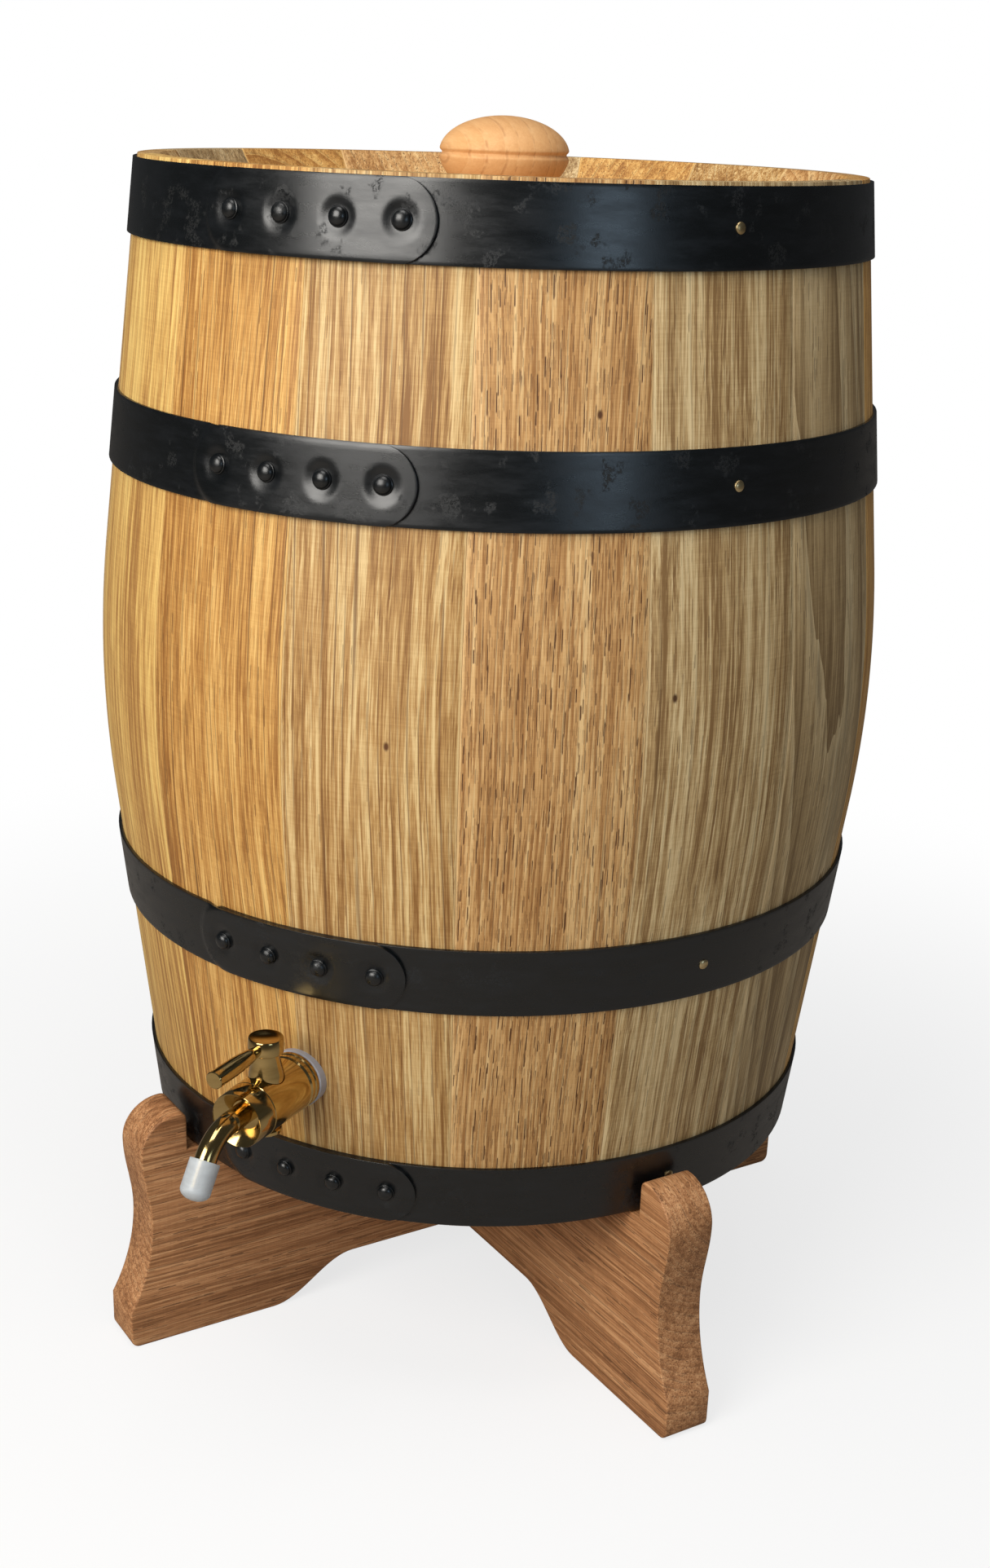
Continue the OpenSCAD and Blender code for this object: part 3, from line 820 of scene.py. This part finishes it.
def make_bung():
    """The turned bung: a round head with a groove about it, on a tapered plug."""
    rim, wide, middle_z = BARREL_H, 27 * MM, BARREL_H + 3.9 * MM
    top, low, neck, groove = 14.6 * MM, 17 * MM, 17 * MM, 1.3 * MM
    plug_r, tip_r, plug_z, tip_z = 15.3 * MM, 14.6 * MM, rim - 18 * MM, rim - 34 * MM
    cut = math.degrees(math.asin(groove / top))
    end = -math.degrees(math.acos(neck / wide))

    def oval(start, stop, steps, tall):
        turns = [math.radians(start + (stop - start) * i / steps) for i in range(steps + 1)]
        return [(wide * math.cos(t), middle_z + tall * math.sin(t)) for t in turns]

    upper, lower = oval(90, cut, 24, top), oval(-cut, end, 14, low)
    plug = [(plug_r, plug_z), (tip_r, tip_z), (0, tip_z)]
    piece = turned("turned_bung", upper + [(wide - groove, middle_z)] + lower + plug, 72)
    place(piece, Matrix.Translation(AXIS + Vector((0, 0, FOOT_Z))))
    soften(piece, 0.4 * MM, 3)
    tone = ((242, 200, 146), (228, 174, 116), (206, 142, 84), (176, 108, 54))
    values = {"Seed": 3.0, "Pith X": -62.0, "Pith Y": 12.0, "Run-out": 0.02, "Ring Width": 6.0,
              "Ring Contrast": 0.20, "Line Strength": 0.45, "Pore Strength": 0.12, "Pore Share": 0.4,
              "Fleck Strength": 0.1, "Streaks": 0.18}
    facing = (math.pi / 2, 0, math.radians(48))
    wood = wood_material("bung_wood", tuple(middle("bung")), facing, values, tone)
    finish_piece(piece, "bung", wood, "bung")


# ---------------------------------------------------------------- tap


def turned_part(name, profile, steps, matrix, node_name, material, body="barrel"):
    """A part of the tap, turned from a profile in mm."""
    piece = place(turned(name, in_mm(profile), steps), matrix)
    soften(piece, 0)
    finish_piece(piece, node_name, material, body)


def make_tap(gold):
    """All that shows of the tap, turned about its own axis, its stem or its lever."""
    r_flange, r_body = 12.2, 12.0
    body = turned("tap_barrel", in_mm([
        (0, 126.5), (8, 126.5), (8, 161.5), (r_flange - 0.3, 161.5), (r_flange, 161.8),
        (r_flange, 163.3), (r_flange - 0.5, 163.8), (r_flange - 0.5, 164.2), (r_flange, 164.7),
        (r_flange, 166.4), (r_flange - 0.5, 166.9), (r_body - 0.6, 167.2), (r_body, 167.8),
        (r_body, 193.3), (r_body - 0.3, 193.6), (0, 193.6)]), 96)
    place(body, ON_TAP)
    cutter = place(turned("stem_bore", in_mm([
        (0, -16), (5.6, -16), (5.6, 9.2), (7.5, 9.2), (7.5, 20), (0, 20)]), 64), ON_STEM)
    apply_modifier(body, "BOOLEAN", object=cutter, operation="DIFFERENCE", solver="EXACT")
    bpy.data.objects.remove(cutter)
    soften(body, 0)
    finish_piece(body, "tap_body", gold)

    turned_part("tap_collar", [
        (0, 190), (8, 190), (8, 193.65), (11.7, 193.65), (12.0, 193.95), (11.62, 203.6),
        (11.4, 204), (11.0, 203.8), (6.2, 197.8), (0, 197.6)],
        96, ON_TAP, "spout_collar", gold)
    turned_part("tap_knob_turned", [
        (0, 9.3), (7.2, 9.3), (7.2, 12.8), (5.2, 20.6), (5.3, 21.2), (6.9, 21.7), (7.2, 22.0),
        (7.2, 27.6), (6.9, 28.1), (6.4, 28.1), (4.0, 27.6), (0, 27.4)],
        72, ON_STEM, "tap_knob", gold, "tap_handle")
    lever_height = 24.3 * MM
    along_lever = (ON_STEM @ Matrix.Translation((0, 0, lever_height))
                   @ Matrix.Rotation(math.pi / 2, 4, "X"))
    turned_part("tap_lever_turned", [
        (0, 1), (2.0, 1), (2.0, 7.0), (2.2, 7.3), (3.0, 13), (3.5, 19), (3.65, 24), (3.65, 36.1),
        (3.3, 36.5), (0, 36.5)],
        48, along_lever, "tap_lever", gold, "tap_handle")
    turned_part("tap_screw", [
        (0, -14.3), (2.6, -14.3), (2.6, -13.6), (3.4, -13.6), (3.4, -14.3), (5.7, -14.3),
        (6.2, -13.8), (6.2, -12.5), (6.0, -12.3), (2, -12.3), (2, -4), (0, -4)],
        48, ON_STEM, "valve_screw", gold, "tap_handle")
    make_spout(gold)


def make_spout(gold):
    """A tube swept straight, round the bend and straight again."""
    start, root_r, tube_r, wall, step = 191 * MM, 4.6 * MM, 4.5 * MM, 0.9 * MM, 0.2 * MM
    deselect()
    bpy.ops.mesh.primitive_circle_add(vertices=48, radius=root_r, location=(0, SPOUT_UP, start))
    tube = bpy.context.active_object
    tube.name = tube.data.name = "tap_spout"
    edit_all(tube)

    def sweep(move, times):
        """Draws the open end out by a move, a number of times."""
        for _ in range(times):
            bpy.ops.mesh.extrude_region_move(TRANSFORM_OT_translate={"value": tuple(move)})

    sweep((0, 0, (SPOUT_BEND_FROM - step - start) / 8), 8)
    sweep((0, 0, step), 1)
    bpy.ops.transform.resize(value=(tube_r / root_r, tube_r / root_r, 1),
                             center_override=(0, SPOUT_UP, 0))
    bpy.ops.mesh.spin(steps=24, angle=SPOUT_BEND, axis=(-1, 0, 0),
                      center=(0, SPOUT_UP - SPOUT_BEND_R, SPOUT_BEND_FROM))
    sweep(Vector((0, -math.sin(SPOUT_BEND), math.cos(SPOUT_BEND))) * 2 * MM, 6)
    bpy.ops.object.mode_set(mode="OBJECT")
    close_up(tube)
    apply_modifier(tube, "SOLIDIFY", thickness=wall, offset=-1)
    soften(place(tube, ON_TAP @ tube.matrix_world), 0.15 * MM)
    finish_piece(tube, "spout_tube", gold)


def make_soft_pieces():
    """The cap on the spout's end and the washer against the wood."""
    bend_end = (0, SPOUT_UP - SPOUT_BEND_R * (1 - math.cos(SPOUT_BEND)),
                SPOUT_BEND_FROM + SPOUT_BEND_R * math.sin(SPOUT_BEND))
    outlet = ON_TAP @ Matrix.Translation(bend_end) @ Matrix.Rotation(SPOUT_BEND, 4, "X")
    cap_r, dome_from, dome_h = 6.15, 12.3, 4
    dome = [(cap_r * math.cos(math.radians(a)), dome_from + dome_h * math.sin(math.radians(a)))
            for a in range(0, 90, 9)]
    turned_part("soft_spout_cap", [
        (4.5, 0.5), (4.7, 0.3), (cap_r - 0.2, 0.3), (cap_r, 0.5)] + dome + [
        (0, dome_from + dome_h), (0, 13.5), (3.9, 13.4), (4.5, 12.9)],
        64, outlet, "spout_cap", silicone("milky_cap", (232, 238, 242), 0.45, 5.0),
        "spout_cap")
    turned_part("soft_washer", [
        (8.05, 154), (12.3, 154), (12.5, 154.2), (12.6, 161.0), (12.2, 161.45), (8.05, 161.45)],
        72, ON_TAP, "outer_washer", silicone("grey_washer", WASHER_GREY, 0.15, 9.0))


# ---------------------------------------------------------------- what stays as the CAD shape


def dress(name, material, width=0.3 * MM):
    """Finish and softer edges for a piece that keeps its CAD shape."""
    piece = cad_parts[name]
    cover(piece, material)
    weld = piece.modifiers.new("weld", "WELD")
    weld.merge_threshold = 0.005 * MM
    bevel = piece.modifiers.new("bevel", "BEVEL")
    bevel.width, bevel.segments, bevel.limit_method = width, 2, "ANGLE"
    bevel.angle_limit = math.radians(40)


def dress_hidden_pieces(gold):
    """Heads, dowels and the tap's inside."""
    quarter = math.pi / 2
    for side, first_seed in (("top", 20), ("bottom", 40)):
        for board in range(1, HEAD_BOARDS + 1):
            name = f"{side}_head_board_{board}"
            values = {"Seed": 5.1 * (board + first_seed), "Pith X": (-1) ** board * 25.0,
                      "Pith Y": 70.0 + 6 * board, "Run-out": 0.05, "Ring Width": 3.8,
                      "Ring Contrast": 0.5, "Pore Strength": 0.8, "Pore Share": 0.5, "Streaks": 0.6}
            tone = (GOLDEN, PALE, ORANGE)[board % 3]
            oak = wood_material("oak_" + name, tuple(middle(name)), (0, quarter, quarter), values, tone)
            dress(name, oak, 0.6 * MM)
        name = side + "_head_dowels"
        values = {"Seed": 2.0, "Pith Y": 30.0, "Ring Width": 2.5, "Ring Contrast": 0.3,
                  "Pore Strength": 0.2}
        dress(name, wood_material("dowel_" + side, tuple(middle(name)), (quarter, 0, 0), values, PALE))
    for name in ("lock_nut", "valve_plug"):
        dress(name, gold)
    cover(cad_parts["valve_rings"], black_rubber("black_ring_rubber", 2.0))
    cover(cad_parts["inner_washer"], silicone("grey_inner_washer", WASHER_GREY, 0.15, 12.0))


# ---------------------------------------------------------------- camera, floor and light


def make_camera():
    """A camera at the front right, a little above the barrel's middle."""
    azimuth, distance, height = 27.05, 881.9 * MM, 442.8 * MM
    aside, pitch, roll = -0.23, 21.7, 2.06
    data = bpy.data.cameras.new("camera")
    data.lens = 45.86
    data.sensor_width = 36
    data.shift_x, data.shift_y = 0.0056, 0.0699
    data.clip_start = 0.05
    camera = bpy.data.objects.new("camera", data)
    bpy.context.scene.collection.objects.link(camera)
    camera.matrix_world = (
        Matrix.Translation(radial(azimuth, distance, FOOT_Z + height))
        @ Matrix.Rotation(math.radians(azimuth + aside), 4, "Z")
        @ Matrix.Rotation(math.radians(90 - pitch), 4, "X")
        @ Matrix.Rotation(math.radians(roll), 4, "Z"))
    bpy.context.scene.camera = camera


def soft_light(name, azimuth, elevation, distance, size, power, color):
    """A square lamp that looks at the barrel's middle."""
    data = bpy.data.lights.new(name, "AREA")
    data.size, data.energy, data.color = size, power, color
    lamp = bpy.data.objects.new(name, data)
    bpy.context.scene.collection.objects.link(lamp)
    up = math.radians(elevation)
    target = AXIS + Vector((0, 0, FOOT_Z + HALF_H))
    spot = radial(azimuth, distance * math.cos(up), FOOT_Z + HALF_H + distance * math.sin(up))
    facing = (spot - target).to_track_quat("Z", "Y").to_matrix().to_4x4()
    lamp.matrix_world = Matrix.Translation(spot) @ facing


def make_floor():
    """A pale sheet that glows softly to the camera and gives back little light to the barrel."""
    deselect()
    bpy.ops.mesh.primitive_plane_add(size=24)
    floor = bpy.context.active_object
    floor.name = "floor"
    material, tree, shader, spot = new_material("pale_floor")
    feed(tree, shader, {"Base Color": (0.88, 0.88, 0.88, 1), "Roughness": 0.9,
                        "Specular IOR Level": 0.1})
    from_axis = vector(tree, "LENGTH", vector(tree, "SUBTRACT", spot, tuple(AXIS)))
    glowing = fade(tree, from_axis, 0.25, 0.8, 0.75, 1.0)
    glow = node(tree, "Emission", {"Color": (1, 1, 1, 1), "Strength": 1.0})
    seen = node(tree, "MixShader", {0: glowing, 1: shader.outputs[0], 2: glow.outputs[0]})
    dim = node(tree, "BsdfDiffuse", {"Color": (0.32, 0.29, 0.26, 1)})
    path = node(tree, "LightPath")
    both = node(tree, "MixShader", {0: path.outputs["Is Camera Ray"], 1: dim.outputs[0],
                                    2: seen.outputs[0]})
    feed(tree, tree.nodes["Material Output"], {"Surface": both.outputs[0]})
    floor.data.materials.append(material)


def make_studio():
    """White round about for the camera, a dim cool room for the barrel, and soft lamps."""
    world = bpy.data.worlds.new("studio")
    bpy.context.scene.world = world
    world.use_nodes = True
    tree = world.node_tree
    tree.nodes.clear()
    seen = node(tree, "Background", {"Color": (1, 1, 1, 1), "Strength": 1.0})
    path = node(tree, "LightPath")
    dimmed = node(tree, "MapRange", {"Value": path.outputs["Is Glossy Ray"], "To Min": 0.27,
                                     "To Max": 0.06})
    ambient = node(tree, "Background", {"Color": (0.94, 0.97, 1.0, 1), "Strength": dimmed.outputs[0]})
    both = node(tree, "MixShader", {0: path.outputs["Is Camera Ray"], 1: ambient.outputs[0],
                                    2: seen.outputs[0]})
    node(tree, "OutputWorld", {"Surface": both.outputs[0]})
    # azimuth, elevation, distance, side and power of each lamp, and its colour
    soft_light("key", -9, 27, 1.55, 0.95, 21, (1.0, 0.97, 0.92))
    soft_light("top", 20, 78, 1.8, 1.0, 11, (1.0, 0.98, 0.95))
    soft_light("cool_side", 57, 13, 1.7, 0.5, 2, (0.60, 0.80, 1.0))
    bpy.context.scene.view_settings.view_transform = "Standard"


# ---------------------------------------------------------------- the whole barrel

random.seed(4)
make_camera()
for stave_number in range(1, STAVES + 1):
    make_stave(stave_number)
for hoop_number, hoop_name in enumerate(HOOP_NAMES):
    hoop_paint = black_paint("satin_black_" + hoop_name, 31.0 * hoop_number)
    nail_brass = polished_metal("pale_brass_" + hoop_name, (226, 206, 160), (178, 150, 104), 0.3,
                                float(hoop_number))
    make_hoop(hoop_name, hoop_paint)
    make_rivets(hoop_name, hoop_paint)
    make_nails(hoop_name, nail_brass)
halving_z = (FOOT_Z + ARCH_H) / 2
make_plank("stand_board_lower", 59, halving_z, FOOT_Z, 61.0)
make_plank("stand_board_upper", -31, 0, halving_z, 83.0)
make_bung()
tap_gold = polished_metal("polished_gold", (206, 178, 120), (176, 148, 94), 0.08, 17.0)
make_tap(tap_gold)
make_soft_pieces()
dress_hidden_pieces(tap_gold)
make_floor()
make_studio()
